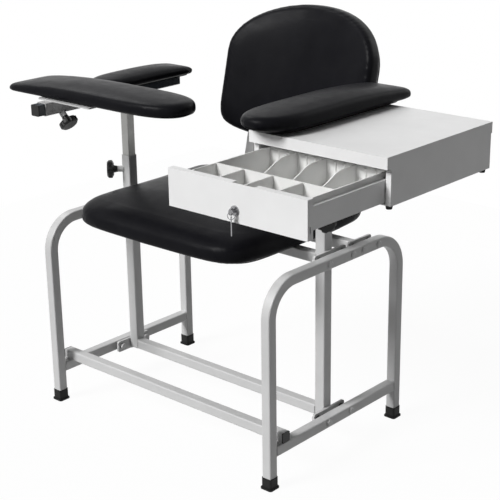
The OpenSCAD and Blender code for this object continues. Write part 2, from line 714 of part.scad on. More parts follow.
// Left arm
module stem(top) translate([0, post_y, top - stem_l]) tube_z(stem_tube, post_wall, stem_l);
module left_stem() color("silver") stand() translate([-post_x, 0, 0]) stem(arm_z);
module arm_tube_left() color([0.07, 0.08, 0.1]) stand()
    translate([-post_x, plug_head - arm_front, arm_mid_z])
        tube_y(arm_tube, post_wall, arm_front + arm_back - 2 * plug_head);
module arm_tube_plugs() color("black") stand() {
    translate([-post_x, arm_back - plug_head, arm_mid_z]) rotate(90) tube_plug(arm_tube, post_wall);
    translate([-post_x, plug_head - arm_front, arm_mid_z]) rotate(-90) tube_plug(arm_tube, post_wall);
}
module side_pad_board() color("dimgray") stand() translate([-post_x, side_y, arm_top])
    arm_board(side_w, side_l, 0, pad_board_in);
module side_pad() color([0.12, 0.12, 0.13]) stand() translate([-post_x, side_y, arm_top])
    arm_pad(side_w, side_l, side_h, pad_board_t / 4, side_taper, 0, pad_board_in);

// Clamp knob along +Z, its stud below: the neck starts at the boss
module knob(stud) {
    stem_r = boss_d / 2;
    translate([0, 0, -stud]) cylinder(h = stud, d = stud_d);
    cylinder(h = knob_neck, r1 = stem_r, r2 = stem_r * 5 / 4);
    translate([0, 0, knob_neck]) intersection() {
        rotate_extrude() polygon([[0, 0], [knob_d / 3, 0], [knob_d / 2, knob_t / 4],
            [knob_d / 2, knob_t * 3 / 4], [knob_d / 2 - knob_t / 4, knob_t], [0, knob_t]]);
        linear_extrude(knob_t) difference() {
            circle(d = knob_d);
            for (i = [0:lobes - 1]) rotate(i * 360 / lobes)
                translate([knob_d * 5 / 9, 0]) circle(d = knob_d / 4);
        }
    }
}
function corner_out(side) = (side / 2 - tube_corner) * sqrt(2) + tube_corner;
knob_off = corner_out(post_tube) + boss_l;
post_stud = knob_off - corner_out(stem_tube) - tip_gap;
module post_knob() translate([-post_x, post_y, clamp_z]) clamp_dir()
    translate([0, 0, knob_off + soft_gap]) knob(post_stud + soft_gap);
module left_knob() color("black") stand() post_knob();
module right_knob() color("black") stand() mirror([1, 0, 0]) post_knob();

// Front rest
// Turns +Z to the diagonal between +X and -Z
module sleeve_dir() rotate([0, 135, 0]) children();
module sleeve() color("lightgray") stand() translate([-post_x, 0, arm_mid_z]) difference() {
    union() {
        translate([0, -sleeve_front, 0]) tube_y(sleeve_tube, sleeve_wall, sleeve_l);
        translate([0, -knob_y, 0]) sleeve_dir() boss_along(sleeve_tube);
    }
    translate([0, -sleeve_front - overrun, 0]) rotate([-90, 0, 0]) linear_extrude(sleeve_l + 2 * overrun)
        round_rect(sleeve_bore, sleeve_bore,
            max(tube_corner - sleeve_wall, tube_corner * inner_corner_share));
    translate([0, -knob_y, 0]) sleeve_dir() stud_hole();
}
sleeve_off = corner_out(sleeve_tube) + boss_l;
sleeve_stud = sleeve_off - corner_out(arm_tube) - tip_gap;
module sleeve_knob() color("black") stand() translate([-post_x, -knob_y, arm_mid_z]) sleeve_dir()
    translate([0, 0, sleeve_off + soft_gap]) knob(sleeve_stud + soft_gap);

screw_d = bolt_d / 2;
screw_head_d = screw_d * 2;
screw_head_h = screw_d * 2 / 3;
screw_inset = rest_out * 3 / 5;
screw_x = [screw_inset - rest_left, rest_w - rest_left - screw_inset];
screw_y = [screw_inset - rest_front, rest_d - rest_front - screw_inset];
module rest_plate() color("whitesmoke") stand() difference() {
    translate([rest_w / 2 - rest_left, rest_d / 2 - rest_front, rest_z0])
        linear_extrude(rest_t) round_rect(rest_w, rest_d, plate_corner);
    for (x = screw_x, y = screw_y) translate([x, y, rest_z0 - overrun])
        cylinder(h = rest_t + 2 * overrun, d = screw_d + 2 * fit_gap);
}
module rest_screws() color("black") stand() for (x = screw_x, y = screw_y) translate([x, y, rest_z0]) {
    translate([0, 0, -screw_head_h]) cylinder(h = screw_head_h, d1 = screw_d, d2 = screw_head_d);
    cylinder(h = rest_t, d = screw_d);
}
module front_pad_board() color("dimgray") stand() translate([-front_x, -front_y, front_pad_z])
    rotate(90) arm_board(front_d, front_l, 0, pad_board_in);
module front_pad() color([0.12, 0.12, 0.13]) stand() translate([-front_x, -front_y, front_pad_z])
    rotate(90) arm_pad(front_d, front_l, front_pad_h, soft_gap, front_taper, 0, pad_board_in);

// Right arm
module right_stem() color("silver") stand() translate([post_x, 0, 0]) stem(carrier_z);
module carrier() color("gainsboro") stand() {
    translate([post_x - carrier_tube / 2, post_y, carrier_z + carrier_tube / 2])
        tube_x(carrier_tube, leg_wall, carrier_l);
    translate([post_x - carrier_tube / 2 + carrier_l / 2, post_y, cab_z - carrier_t])
        linear_extrude(carrier_t) round_rect(carrier_l, carrier_l * 2 / 3, plate_corner);
}
module carrier_plugs() color("black") stand()
    translate([post_x - carrier_tube / 2 + carrier_l / 2, post_y, carrier_z + carrier_tube / 2])
        for (a = [0, 180]) rotate(a) translate([carrier_l / 2, 0, 0]) tube_plug(carrier_tube, leg_wall);
module box_from(x0, x1, y0, y1, z0, z1)
    translate([x0, y0, z0]) cube([x1 - x0, y1 - y0, z1 - z0]);
module cabinet_chassis() color("gainsboro") stand() translate([cab_x, 0, 0]) {
    w = chassis_w / 2;
    z1 = cab_top - sheet;
    difference() {
        box_from(-w, w, -cab_front, cab_front - sheet, cab_z, z1);
        box_from(sheet - w, w - sheet, -cab_front - overrun, cab_front - 2 * sheet,
            cab_z + sheet, z1 + overrun);
    }
    for (m = [0, 1]) mirror([m, 0, 0]) {
        box_from(w - jamb_w, w - sheet, -cab_front, sheet - cab_front, cab_z + sheet, z1);
        box_from(w - jamb_w, w - jamb_w + sheet, sheet - cab_front, jamb_w / 2 - cab_front,
            cab_z + sheet, z1);
    }
}
module cabinet_cover() color("whitesmoke") stand() translate([cab_x, 0, 0]) difference() {
    box_from(-cab_w / 2, cab_w / 2, -cab_front - lip_out, cab_front, cab_top - lip_h, cab_top);
    box_from(-chassis_w / 2, chassis_w / 2, sheet - cab_front - lip_out, cab_front - sheet,
        cab_top - lip_h - overrun, cab_top - sheet);
}
module cabinet_feet() color("dimgray") stand() for (x = [-1, 1], y = [-1, 1])
    translate([cab_x + x * (chassis_w / 2 - cab_foot_d * 3 / 4),
        y * (cab_front - cab_foot_d * 3 / 4), cab_z - cab_foot_h])
            cylinder(h = cab_foot_h, d1 = cab_foot_d * 4 / 5, d2 = cab_foot_d);
// Rails: a channel on each side of the cabinet, round the edge of the drawer box
rail_run = soft_gap;
rail_reach = fold_w - sheet;
module rail_channel() {
    x0 = -rail_reach;
    z0 = box_z - rail_run - rail_t;
    z1 = ledge_z + rail_run + rail_t;
    box_from(rail_w - rail_t, rail_w, 0, rail_l, z0, z1);
    box_from(x0, rail_w, 0, rail_l, z0, z0 + rail_t);
    box_from(x0, rail_w, 0, rail_l, z1 - rail_t, z1);
}
rail_front = jamb_w / 2 - cab_front;
module cabinet_rails() color("silver") stand() for (m = [0, 1])
    translate([cab_x, rail_front, 0]) mirror([m, 0, 0]) translate([box_w / 2, 0, 0]) rail_channel();
// Glides on the rear of the drawer's sides, which run in the rails
module drawer_glides() color("white") stand() for (m = [0, 1])
    translate([cab_x, box_l - box_front - glide_l, 0]) mirror([m, 0, 0])
        translate([box_w / 2, 0, 0])
            box_from(0, rail_w - rail_t - rail_run, 0, glide_l, box_z + rail_t, ledge_z - rail_t);
module right_pad_board() color("dimgray") stand() translate([right_x, -right_y, cab_top])
    arm_board(right_w, right_l, right_nose, 2 * pad_board_in);
module right_pad() color([0.12, 0.12, 0.13]) stand() translate([right_x, -right_y, cab_top])
    arm_pad(right_w, right_l, right_h, pad_board_t * 2 / 3, right_taper, right_nose,
        2 * pad_board_in);

// Drawer
module drawer_box() color("lightgray") stand() translate([cab_x, -box_front, 0]) {
    w = box_w / 2;
    difference() {
        box_from(-w, w, 0, box_l, box_z, ledge_z);
        box_from(sheet - w, w - sheet, sheet, box_l - sheet, box_z + sheet, ledge_z + overrun);
    }
    for (m = [0, 1]) mirror([m, 0, 0])
        box_from(w - fold_w + fit_gap, w - sheet, sheet, box_l - sheet, ledge_z - sheet, ledge_z);
}
module drawer_front() color("whitesmoke") stand() translate([cab_x, -drawer_out, 0]) {
    w = front_w / 2;
    z1 = front_z + front_h;
    difference() {
        box_from(-w, w, 0, front_t, front_z, z1);
        box_from(sheet - w, w - sheet, sheet, front_t + overrun, front_z + sheet, z1 - sheet);
        translate([0, -overrun, lock_z]) rod_y(lock_d + 2 * fit_gap, sheet + 2 * overrun);
        box_from(-cam_w * 2 / 3, cam_l * 4 / 5, sheet, front_t + overrun, z1 - 2 * sheet, z1 + overrun);
        box_from(w - 2 * sheet, w + overrun, front_t * 2 / 5, front_t * 3 / 5,
            front_z + front_h / 6, front_z + front_h / 3);
    }
    for (m = [0, 1]) mirror([m, 0, 0])
        box_from(box_w / 2 - jamb_w, w - sheet, front_t - sheet, front_t, front_z + sheet, z1 - sheet);
}

// Tray with two rows of bins
module tray() color("white") stand() translate([cab_x - tray_w / 2, -box_front + sheet, tray_z]) {
    difference() {
        cube([tray_w, tray_l, tray_h]);
        for (i = [0:bins - 1]) translate([tray_wall + i * (bin_w + tray_wall), tray_wall, tray_wall])
            cube([bin_w, bin_l, tray_h]);
        translate([tray_wall, bin_l + 2 * tray_wall, tray_wall])
            cube([tray_w - 2 * tray_wall, rear_bin_l, tray_h]);
    }
    for (i = [1:bins - 1]) translate([i * (bin_w + tray_wall), bin_l + 2 * tray_wall, 0])
        rotate([90, 0, 90]) linear_extrude(tray_wall) rear_divider();
    for (i = [0:bins - 1], s = [1, 2])
        translate([tray_wall + i * (bin_w + tray_wall) + bin_w * s / 3, tray_l - tray_wall, tray_wall])
            cylinder(h = tray_h - 2 * tray_wall, d = rib_d);
}
// Side view of a rear divider: low in front, then a smooth rise to the rim
rise_steps = 12;
module rear_divider() polygon(concat([[0, 0], [0, tray_h - bin_drop]],
    [for (i = [0:rise_steps]) let (t = i / rise_steps)
        [rear_bin_l * (1 / 4 + t / 2), tray_h - bin_drop * (1 + cos(180 * t)) / 2]],
    [[rear_bin_l, tray_h], [rear_bin_l, 0]]));

// Lock and keys
lock_nut_h = sheet * 2;
lock_depth = front_t / 2;
module lock_body() color("silver") stand() translate([cab_x, -drawer_out, lock_z]) difference() {
    union() {
        translate([0, -lock_flange_d / 8, 0]) rod_y(lock_flange_d, lock_flange_d / 8);
        rod_y(lock_d, lock_depth);
        translate([0, sheet, 0]) rod_y(lock_flange_d, lock_nut_h);
    }
    translate([0, -overrun - lock_flange_d / 8, 0])
        rod_y(lock_plug_d + 2 * run_gap, lock_depth + lock_flange_d + overrun);
}
cam_t = sheet * 2;
module lock_plug() color("silver") stand() translate([cab_x, -drawer_out, lock_z]) {
    translate([0, -lock_flange_d / 8, 0]) difference() {
        rod_y(lock_plug_d, lock_flange_d / 8 + lock_depth + soft_gap);
        translate([-key_t / 2 - run_gap, -overrun, -lock_plug_d / 3])
            cube([key_t + 2 * run_gap, key_in + run_gap + overrun, lock_plug_d * 2 / 3]);
    }
    translate([0, lock_depth + soft_gap, 0]) rotate([-90, 0, 0]) linear_extrude(cam_t) {
        circle(d = cam_w);
        translate([0, -cam_w / 2]) square([cam_l - cam_w / 2, cam_w]);
        translate([cam_l - cam_w / 2, 0]) circle(d = cam_w);
    }
}
// A key in the Y-Z plane, its bow towards -Y, from the middle of the bow
module key_shape(l) rotate([90, 0, 90]) translate([0, 0, -key_t / 2]) linear_extrude(key_t)
    difference() {
        union() {
            circle(d = bow_d);
            translate([0, -bow_d / 6]) square([l, bow_d / 3]);
        }
        circle(d = bow_hole_d);
    }
module key() color("silver") stand()
    translate([cab_x, -drawer_out - bow_mid, lock_z])
        key_shape(bow_d / 3 + key_stem + key_in);
ring_turn = 38;
ring_slack = (bow_hole_d - ring_wire) / 2 - 3 * soft_gap;
ring_mid = (ring_d - ring_wire) / 2;
module at_bow() translate([cab_x, -drawer_out - bow_mid, lock_z]) children();
module key_ring() color("silver") stand() at_bow() translate([0, 0, -ring_slack - ring_mid])
    rotate([90, 0, ring_turn]) rotate_extrude() translate([ring_mid, 0]) circle(d = ring_wire);
module spare_key() color("silver") stand() at_bow()
    translate([0, 0, -2 * ring_slack - 2 * ring_mid]) rotate([-90, 0, ring_turn]) key_shape(key_l);

side_frame_left();
side_frame_right();
boot_front_left();
boot_front_right();
boot_rear_left();
boot_rear_right();
front_crossbar();
crossbar_plugs();
post_left();
post_right();
lower_bar();
upper_bar();
rear_crossbar();
plate_lower_left();
plate_lower_right();
plate_upper_left();
plate_upper_right();
plate_bolts();
plate_spacers();
seat_board();
seat_cushion();
back_strap_left();
back_strap_right();
back_board();
back_cushion();
back_bolts();
left_stem();
arm_tube_left();
arm_tube_plugs();
side_pad_board();
side_pad();
left_knob();
sleeve();
rest_plate();
rest_screws();
front_pad_board();
front_pad();
sleeve_knob();
right_stem();
carrier();
carrier_plugs();
cabinet_chassis();
cabinet_cover();
cabinet_feet();
cabinet_rails();
right_pad_board();
right_pad();
right_knob();
drawer_box();
drawer_front();
drawer_glides();
tray();
lock_body();
lock_plug();
key();
key_ring();
spare_key();
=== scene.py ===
import json
import math
import bmesh
import bpy
from mathutils import Matrix, Vector


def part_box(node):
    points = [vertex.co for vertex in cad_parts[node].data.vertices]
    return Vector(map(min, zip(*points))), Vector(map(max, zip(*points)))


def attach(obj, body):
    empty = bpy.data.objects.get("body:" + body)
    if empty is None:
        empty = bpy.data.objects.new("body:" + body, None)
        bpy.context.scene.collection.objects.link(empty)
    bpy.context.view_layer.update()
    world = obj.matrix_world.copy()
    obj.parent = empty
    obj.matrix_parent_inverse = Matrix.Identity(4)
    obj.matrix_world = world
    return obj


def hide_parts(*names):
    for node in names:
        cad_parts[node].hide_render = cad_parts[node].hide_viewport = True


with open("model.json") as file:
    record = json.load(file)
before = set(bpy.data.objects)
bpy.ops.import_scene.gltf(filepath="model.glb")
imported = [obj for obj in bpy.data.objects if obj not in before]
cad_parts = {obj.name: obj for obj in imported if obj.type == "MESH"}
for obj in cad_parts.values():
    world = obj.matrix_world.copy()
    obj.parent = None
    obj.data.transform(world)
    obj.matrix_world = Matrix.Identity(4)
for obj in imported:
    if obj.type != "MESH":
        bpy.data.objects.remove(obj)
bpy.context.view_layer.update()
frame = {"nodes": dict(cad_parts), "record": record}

MM = 0.001
nodes = frame["nodes"]
scene = bpy.context.scene


# Places
def low(name):
    return Vector(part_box(name)[0])


def high(name):
    return Vector(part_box(name)[1])


# The floor point under the middle of the two side frames
CENTRE = Vector(((low("side_frame_left").x + high("side_frame_right").x) / 2,
                 (low("side_frame_left").y + high("side_frame_left").y) / 2, 0))


def at(x, y, z):
    """A point in millimetres from the middle of the side frames."""
    return CENTRE + Vector((x, y, z)) * MM


def corners(name):
    """A node's lowest and highest corners in millimetres from the middle of the side frames."""
    return (low(name) - CENTRE) / MM, (high(name) - CENTRE) / MM


# Camera, at the photograph's viewing angle
CAMERA_AT = (1794.95, -1905.07, 1285.84)
AZ, PITCH, ROLL = math.radians(41.89), math.radians(19.21), math.radians(-0.83)
FOCAL_PX, IMAGE_PX, SENSOR_W = 1279.2, 500, 36


def add_camera():
    data = bpy.data.cameras.new("camera")
    data.sensor_width = SENSOR_W
    data.sensor_fit = "HORIZONTAL"
    data.lens = FOCAL_PX / IMAGE_PX * SENSOR_W
    cam = bpy.data.objects.new("camera", data)
    scene.collection.objects.link(cam)
    back = Vector((math.sin(AZ) * math.cos(PITCH), -math.cos(AZ) * math.cos(PITCH),
                   math.sin(PITCH)))
    level = Vector((math.cos(AZ), math.sin(AZ), 0))
    above = back.cross(level)
    right = level * math.cos(ROLL) + above * math.sin(ROLL)
    up = above * math.cos(ROLL) - level * math.sin(ROLL)
    turn = Matrix((right, up, back)).transposed().to_4x4()
    cam.matrix_world = Matrix.Translation(at(*CAMERA_AT)) @ turn
    scene.camera = cam


add_camera()


# Shader nodes
def shader(name):
    mat = bpy.data.materials.new(name)
    mat.use_nodes = True
    tree = mat.node_tree
    return mat, tree, tree.nodes["Principled BSDF"]


def add(tree, kind, **values):
    """A new node; a value that is no setting of the node goes to its socket of that name."""
    node = tree.nodes.new(kind)
    for key, value in values.items():
        if hasattr(node, key):
            setattr(node, key, value)
        else:
            node.inputs[key.replace("_", " ")].default_value = value
    return node


def coords(tree, scale=(1, 1, 1)):
    tex = tree.nodes.new("ShaderNodeTexCoord")
    mapping = add(tree, "ShaderNodeMapping", Scale=scale)
    tree.links.new(tex.outputs["Object"], mapping.inputs["Vector"])
    return mapping.outputs["Vector"]


def noise(tree, vector, scale, detail):
    node = add(tree, "ShaderNodeTexNoise", Scale=scale, Detail=detail)
    tree.links.new(vector, node.inputs["Vector"])
    return node.outputs["Fac"]


def spread(tree, value, lo, hi, low_in=0.3, high_in=0.7):
    """The value's range from low_in to high_in, stretched to lo and hi."""
    node = add(tree, "ShaderNodeMapRange", From_Min=low_in, From_Max=high_in, To_Min=lo, To_Max=hi)
    tree.links.new(value, node.inputs["Value"])
    return node.outputs["Result"]


def tint(tree, value, dark, light, low_in=0.3, high_in=0.7):
    """The same for two colours."""
    node = tree.nodes.new("ShaderNodeValToRGB")
    for stop, place, colour in zip(node.color_ramp.elements, (low_in, high_in), (dark, light)):
        stop.position = place
        stop.color = (*colour, 1)
    tree.links.new(value, node.inputs["Fac"])
    return node.outputs["Color"]


def bump(tree, bsdf, height, depth, strength=1.0, under=None):
    """Relief of a depth in metres, over the relief named under."""
    node = add(tree, "ShaderNodeBump", Strength=strength, Distance=depth)
    tree.links.new(height, node.inputs["Height"])
    if under is not None:
        tree.links.new(under, node.inputs["Normal"])
    tree.links.new(node.outputs["Normal"], bsdf.inputs["Normal"])
    return node.outputs["Normal"]


def gray(v):
    return (v, v, v)


def uneven(name, colours, tone, roughs, gloss, grain, depth, **plain):
    """Colour, roughness and relief that each vary with a noise, given by its scale and detail.

    plain holds the sockets whose value is the same all over.
    """
    mat, tree, bsdf = shader(name)
    vec = coords(tree)
    tree.links.new(tint(tree, noise(tree, vec, *tone), *colours), bsdf.inputs["Base Color"])
    tree.links.new(spread(tree, noise(tree, vec, *gloss), *roughs), bsdf.inputs["Roughness"])
    bump(tree, bsdf, noise(tree, vec, *grain), depth)
    for socket, value in plain.items():
        bsdf.inputs[socket.replace("_", " ")].default_value = value
    return mat


# Materials
def paint(name, colour, rough, peel=0.00004):
    """Powder coat: fine orange peel, a slight unevenness of tone and gloss."""
    dark = tuple(c * 0.95 for c in colour)
    return uneven(name, (dark, colour), tone=(14, 2), roughs=(rough - 0.04, rough + 0.05),
                  gloss=(60, 3), grain=(900, 2), depth=peel)


def metal(name, colour, rough, scratch=0.00002):
    """Plated metal with a faint haze and fine scratches."""
    dark = tuple(c * 0.9 for c in colour)
    return uneven(name, (dark, colour), tone=(30, 3), roughs=(rough - 0.05, rough + 0.08),
                  gloss=(250, 4), grain=(700, 3), depth=scratch, Metallic=1)


def plastic(name, colour, rough, depth, scale, coat=0.0, shine=0.5):
    """Moulded plastic or rubber with a grain of the given depth and scale."""
    dark = tuple(c * 0.93 for c in colour)
    return uneven(name, (dark, colour), tone=(25, 2), roughs=(rough - 0.05, rough + 0.06),
                  gloss=(90, 3), grain=(scale, 2), depth=depth, Coat_Weight=coat,
                  Specular_IOR_Level=shine)


def weld_paint():
    """The frame's paint over weld ripples."""
    return uneven("weld_paint", (gray(0.46), gray(0.54)), tone=(90, 3), roughs=(0.34, 0.46),
                  gloss=(300, 3), grain=(800, 2), depth=0.00008)


def vinyl():
    """Black upholstery vinyl: pebbled grain of about a millimetre with fine creases between."""
    mat, tree, bsdf = shader("vinyl")
    vec = coords(tree)
    warp = add(tree, "ShaderNodeTexNoise", Scale=180.0, Detail=2.0)
    tree.links.new(vec, warp.inputs["Vector"])
    mix = add(tree, "ShaderNodeMixRGB", blend_type="LINEAR_LIGHT", Fac=0.0012)
    tree.links.new(vec, mix.inputs["Color1"])
    tree.links.new(warp.outputs["Color"], mix.inputs["Color2"])
    cells = add(tree, "ShaderNodeTexVoronoi", feature="DISTANCE_TO_EDGE", Scale=720.0)
    tree.links.new(mix.outputs["Color"], cells.inputs["Vector"])
    pebbles = spread(tree, cells.outputs["Distance"], 0, 1, low_in=0.0, high_in=0.22)
    dark, light = (0.0042, 0.0042, 0.0056), (0.0062, 0.0062, 0.0078)
    tree.links.new(tint(tree, noise(tree, vec, 22, 3), dark, light), bsdf.inputs["Base Color"])
    tree.links.new(spread(tree, noise(tree, vec, 45, 4), 0.3, 0.38), bsdf.inputs["Roughness"])
    bsdf.inputs["Specular IOR Level"].default_value = 0.045
    relief = bump(tree, bsdf, pebbles, depth=0.00007, strength=0.55)
    bump(tree, bsdf, noise(tree, vec, 2600, 3), depth=0.00003, strength=0.5, under=relief)
    return mat


def lining():
    """Black non-woven lining on the undersides: short crossed fibres."""
    mat, tree, bsdf = shader("lining")
    cross = add(tree, "ShaderNodeMath", operation="MAXIMUM")
    for i, stretch in enumerate(((1, 0.12, 1), (0.12, 1, 1))):
        tree.links.new(noise(tree, coords(tree, stretch), 1600, 3), cross.inputs[i])
    fibres = cross.outputs[0]
    tree.links.new(tint(tree, fibres, gray(0.006), gray(0.016), low_in=0.4, high_in=0.75),
                   bsdf.inputs["Base Color"])
    bsdf.inputs["Roughness"].default_value = 0.85
    bsdf.inputs["Specular IOR Level"].default_value = 0.25
    bump(tree, bsdf, fibres, depth=0.0001, strength=0.7)
    return mat


MATS = {
    "frame_paint": paint("frame_paint", gray(0.53), 0.36),
    "post_paint": paint("post_paint", gray(0.52), 0.34),
    "arm_paint": paint("arm_paint", (0.012, 0.018, 0.026), 0.34),
    "cabinet_paint": paint("cabinet_paint", gray(0.8), 0.38, peel=0.00003),
    "zinc": metal("zinc", (0.36, 0.36, 0.35), 0.4),
    "chrome": metal("chrome", (0.34, 0.34, 0.35), 0.16, scratch=0.000006),
    "boot_rubber": plastic("boot_rubber", gray(0.01), 0.62, 0.00008, 700, shine=0.2),
    "black_plastic": plastic("black_plastic", gray(0.009), 0.36, 0.00003, 1200, shine=0.25),
    "white_plastic": plastic("white_plastic", (0.8, 0.8, 0.79), 0.36, 0.00002, 1400, coat=0.1),
    "vinyl": vinyl(),
    "lining": lining(),
}
WELD = weld_paint()


# The solids: their materials and rounded edges
PAINTED_OVER = ("plate_bolts",)    # their heads carry the frame's coat
for entry in frame["record"]["subparts"]:
    slot = "frame_paint" if entry["node"] in PAINTED_OVER else entry["material_slot"]
    materials = nodes[entry["node"]].data.materials
    materials.clear()
    materials.append(MATS[slot])

# Width of the rounding by node, in millimetres
EDGES = {"cabinet_cover": 1.1, "cabinet_chassis": 0.5, "drawer_front": 0.9, "drawer_box": 0.35,
         "tray": 0.7, "rest_plate": 0.7, "left_knob": 1.3, "right_knob": 1.3, "sleeve_knob": 1.3,
         "boot_front_left": 0.6, "boot_front_right": 0.6, "boot_rear_left": 0.6,
         "boot_rear_right": 0.6, "plate_lower_left": 0.6, "plate_lower_right": 0.6,
         "plate_upper_left": 0.6, "plate_upper_right": 0.6, "rear_crossbar": 0.5,
         "back_strap_left": 0.6, "back_strap_right": 0.6, "seat_board": 1.0, "back_board": 1.2,
         "side_pad_board": 1.0, "front_pad_board": 1.0, "right_pad_board": 1.0,
         "crossbar_plugs": 0.6, "arm_tube_plugs": 0.6, "key": 0.3, "spare_key": 0.3,
         "lock_body": 0.3, "lock_plug": 0.25, "drawer_glides": 0.5, "cabinet_rails": 0.2,
         "carrier": 0.5, "carrier_plugs": 0.6}
SHARP = math.radians(40)           # edges that bend more than this are rounded
for name, width in EDGES.items():
    mod = nodes[name].modifiers.new("edge", "BEVEL")
    mod.width = width * MM
    mod.segments = 2
    mod.limit_method = "ANGLE"
    mod.angle_limit = SHARP


# Mesh helpers
def new_object(name, verts, faces, mat, smooth=True):
    mesh = bpy.data.meshes.new(name)
    mesh.from_pydata([tuple(v) for v in verts], [], faces)
    mesh.update()
    bm = bmesh.new()
    bm.from_mesh(mesh)
    bmesh.ops.recalc_face_normals(bm, faces=bm.faces)
    bm.to_mesh(mesh)
    bm.free()
    mesh.polygons.foreach_set("use_smooth", [smooth] * len(mesh.polygons))
    obj = bpy.data.objects.new(name, mesh)
    scene.collection.objects.link(obj)
    obj.data.materials.append(mat)
    return obj


def take_modifiers(obj):
    """Fixes the mesh as its modifiers make it."""
    deps = bpy.context.evaluated_depsgraph_get()
    mesh = bpy.data.meshes.new_from_object(obj.evaluated_get(deps))
    obj.modifiers.clear()
    obj.data = mesh


# Cushion forms, in millimetres
SLIM = 0.4                # how much smaller than its solid a cushion starts
LINE_POINTS = 220
SIDE_STEPS, ROLL_STEPS, TOP_STEPS = 12, 8, 14
CROWN_POWER = 2.6
SIDE = [(0, 1), (0.06, 0.62), (0.2, 0.22), (0.42, 0), (0.62, 0.03)]   # height, draw-in: shares
SIDE_EASE = 0.35          # share of the draw-in that eases between these points


def side_in(t):
    """Draw-in of a cushion's side at a share of its height."""
    for (a, va), (b, vb) in zip(SIDE, SIDE[1:]):
        if t <= b:
            k = (t - a) / (b - a)
            return va + (vb - va) * (k * k * (3 - 2 * k) * SIDE_EASE + k * (1 - SIDE_EASE))
    return SIDE[-1][1]


def power(value, square):
    """A sine or cosine bent towards a square; 2 leaves it round."""
    return math.copysign(abs(value) ** (2 / square), value)


def seat_line(hx, hy, square=7, points=168):
    """Outline of the seat: a square with well rounded corners."""
    angles = [2 * math.pi * i / points for i in range(points)]
    return [(hx * power(math.cos(a), square), hy * power(math.sin(a), square)) for a in angles]


def arm_line(hx, hy, rear=(8, 24), front=(2.2, 5.5), points=240):
    """Outline of an arm pad along Y: square and thin at the rear, full and round in front."""
    out = []
    for i in range(points):
        a = 2 * math.pi * i / points
        px, py = rear if math.sin(a) > 0 else front
        out.append((hx * power(math.cos(a), px), hy * power(math.sin(a), py)))
    return out


def even(line, n=LINE_POINTS):
    """The same closed line with evenly spaced points."""
    pts = line + line[:1]
    lengths = [0]
    for p, q in zip(pts, pts[1:]):
        lengths.append(lengths[-1] + math.dist(p, q))
    out, j = [], 0
    for i in range(n):
        s = lengths[-1] * i / n
        while lengths[j + 1] < s:
            j += 1
        k = (s - lengths[j]) / max(lengths[j + 1] - lengths[j], 1e-9)
        out.append(tuple(a + (b - a) * k for a, b in zip(pts[j], pts[j + 1])))
    return out


def slimmed(line, hx, hy):
    return even([(x * (1 - SLIM / hx), y * (1 - SLIM / hy)) for x, y in line])


def cushion_rings(line, hx, hy, h, draw, share, roll, crown, taper=0, nose=0):
    """Rings from the middle of the bottom to the middle of the crown.

    draw is how far the side pulls in, share its part along Y, roll the radius of the upper edge,
    taper the loss of height at the rear and nose the draw-in under the front end.
    """
    rings = []

    def ring(inset, z):
        rings.append([(x * (1 - inset / hx), y * (1 - inset * share / hy), z) for x, y in line])

    for i in range(SIDE_STEPS + 1):
        t = i / SIDE_STEPS
        ring(draw * side_in(t), (h - roll) * t)
    top_in = draw * SIDE[-1][1]
    for i in range(1, ROLL_STEPS + 1):
        a = math.pi / 2 * i / ROLL_STEPS
        ring(roll * (1 - math.cos(a)) + top_in * math.cos(a), h - roll + roll * math.sin(a))
    kx, ky = 1 - roll / hx, 1 - roll * share / hy
    for i in range(1, TOP_STEPS):
        s = 1 - i / TOP_STEPS
        rings.append([(x * kx * s, y * ky * s, h + crown * (1 - s ** CROWN_POWER)) for x, y in line])
    under = [[(x * s, y * s, z) for x, y, z in rings[0]] for s in (0.2, 0.4, 0.6, 0.8)]

    def shaped(x, y, z):
        thin = 1 - taper * (max(y, 0) / hy) ** 2
        tuck = 1 - nose / hy * max(0, 1 - 2 * z / h) ** 2 if y < 0 else 1
        return x, y * tuck, z * thin

    return [[shaped(*p) for p in r] for r in under + rings]


def closed(rings):
    """Verts and faces of rings closed at both ends."""
    n = len(rings[0])
    verts = [v for r in rings for v in r]
    faces = [(j * n + i, j * n + (i + 1) % n, (j + 1) * n + (i + 1) % n, (j + 1) * n + i)
             for j in range(len(rings) - 1) for i in range(n)]
    for r, flip in ((0, True), (len(rings) - 1, False)):
        verts.append(tuple(sum(p[k] for p in rings[r]) / n for k in range(3)))
        c = len(verts) - 1
        for i in range(n):
            f = (r * n + i, r * n + (i + 1) % n, c)
            faces.append(f[::-1] if flip else f)
    return verts, faces


# Cushion covers
VOXEL = 0.005
SMOOTHINGS = 2
GIVE_BACK = 1.0 * MM      # what the smoothing takes from the outside
CLOTH_FRAMES = 20
CLOTH = {"quality": 6, "mass": 0.35, "tension_stiffness": 25, "compression_stiffness": 25,
         "shear_stiffness": 12, "bending_stiffness": 3, "use_pressure": True,
         "uniform_pressure_force": 4.0}
BEARING = 0.85            # share of an inward move that the filling takes up
CALMINGS = 18             # rounds in which each move is averaged with its neighbours'


def remesh(obj, pinned):
    """Even faces, smoothed, at the size that the form had."""
    mod = obj.modifiers.new("remesh", "REMESH")
    mod.mode = "VOXEL"
    mod.voxel_size = VOXEL
    take_modifiers(obj)
    for _ in range(SMOOTHINGS):
        bm = bmesh.new()
        bm.from_mesh(obj.data)
        bmesh.ops.smooth_vert(bm, verts=[v for v in bm.verts if not pinned(v.co)], factor=0.5,
                              use_axis_x=True, use_axis_y=True, use_axis_z=True)
        bm.to_mesh(obj.data)
        bm.free()
    obj.data.update()
    normals = [v.normal.copy() for v in obj.data.vertices]
    for v, n in zip(obj.data.vertices, normals):
        if not pinned(v.co):
            v.co += n * GIVE_BACK
    return normals


